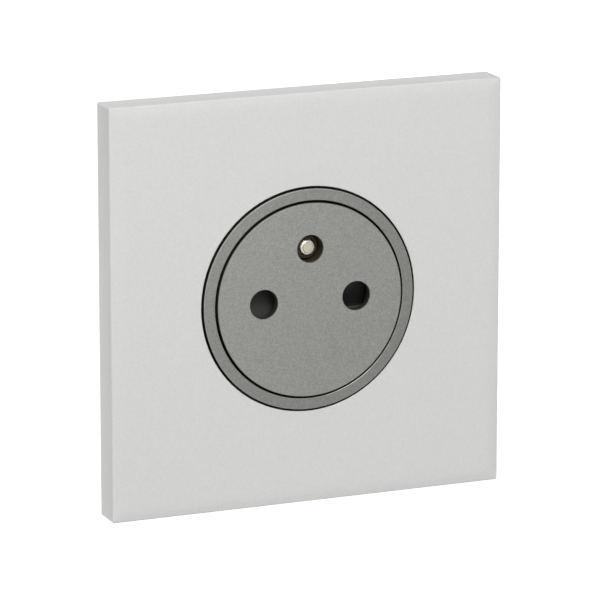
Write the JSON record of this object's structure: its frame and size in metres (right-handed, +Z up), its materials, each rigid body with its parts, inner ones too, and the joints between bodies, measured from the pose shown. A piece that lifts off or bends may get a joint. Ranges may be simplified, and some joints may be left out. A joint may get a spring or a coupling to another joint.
{
  "type": "wall socket",
  "caption": "Flush square wall socket with a round sprung face that slides back under a plug, a turning pin shutter, a standing earth pin and push-in terminals.",
  "frame": {"origin": "centre of the plate's back, on the wall's surface, midway between the fixing slots", "axes": "+X to the right seen from the room, +Y into the wall, +Z up"},
  "size_m": [0.08, 0.0394, 0.08],
  "materials": {
    "cover_grey": "satin, fine grain",
    "trim_grey": "satin metallic paint",
    "back_plate_grey": "moulded",
    "shutter_black": "moulded",
    "housing_black": "moulded, fine spark texture",
    "rear_cover_grey": "moulded, fine spark texture",
    "frame_steel": "galvanised",
    "screw_steel": "zinc plated",
    "spring_steel": "drawn spring steel",
    "contact_brass": "stamped",
    "pin_nickel": "turned, nickel plated",
    "button_brown": "moulded",
    "button_blue": "moulded",
    "button_green": "moulded"
  },
  "bodies": {
    "base": {"cover_plate": "cover_grey", "trim_ring": "trim_grey", "housing": "housing_black", "contact_base": "housing_black", "rear_cover": "rear_cover_grey", "rear_cover_screws": "screw_steel", "support_frame": "frame_steel", "earth_pin": "pin_nickel", "earth_bar": "contact_brass", "line_contact": "contact_brass", "neutral_contact": "contact_brass", "line_contact_grip": "spring_steel", "neutral_contact_grip": "spring_steel", "line_clamp_spring": "spring_steel", "neutral_clamp_spring": "spring_steel", "earth_clamp_spring": "spring_steel", "return_spring_left": "spring_steel", "return_spring_right": "spring_steel"},
    "face": {"sliding_face": "trim_grey", "face_back_plate": "back_plate_grey", "face_screws": "screw_steel", "shutter_spring": "spring_steel"},
    "shutter": {"shutter": "shutter_black"},
    "line_button": {"line_release_button": "button_brown"},
    "neutral_button": {"neutral_release_button": "button_blue"},
    "earth_button": {"earth_release_button": "button_green"}
  },
  "joints": [
    {"name": "face_slide", "type": "slide", "parent": "base", "child": "face", "axis": [0, 1, 0], "range_m": [0, 0.015], "stiffness_N_per_m": 700, "springref_m": -0.012, "deforming": ["return_spring_left", "return_spring_right"]},
    {"name": "shutter_turn", "type": "hinge", "parent": "face", "child": "shutter", "pos_m": [0, -0.0036, 0], "axis": [0, -1, 0], "range_deg": [0, 40], "stiffness_Nm_per_rad": 0.004, "springref_deg": -28.65, "deforming": ["shutter_spring"]},
    {"name": "line_release", "type": "slide", "parent": "base", "child": "line_button", "axis": [0, -1, 0], "range_m": [0, 0.0018], "stiffness_N_per_m": 1200, "springref_m": -0.001, "deforming": ["line_clamp_spring"]},
    {"name": "neutral_release", "type": "slide", "parent": "base", "child": "neutral_button", "axis": [0, -1, 0], "range_m": [0, 0.0018], "stiffness_N_per_m": 1200, "springref_m": -0.001, "deforming": ["neutral_clamp_spring"]},
    {"name": "earth_release", "type": "slide", "parent": "base", "child": "earth_button", "axis": [0, -1, 0], "range_m": [0, 0.0018], "stiffness_N_per_m": 1200, "springref_m": -0.001, "deforming": ["earth_clamp_spring"]}
  ]
}
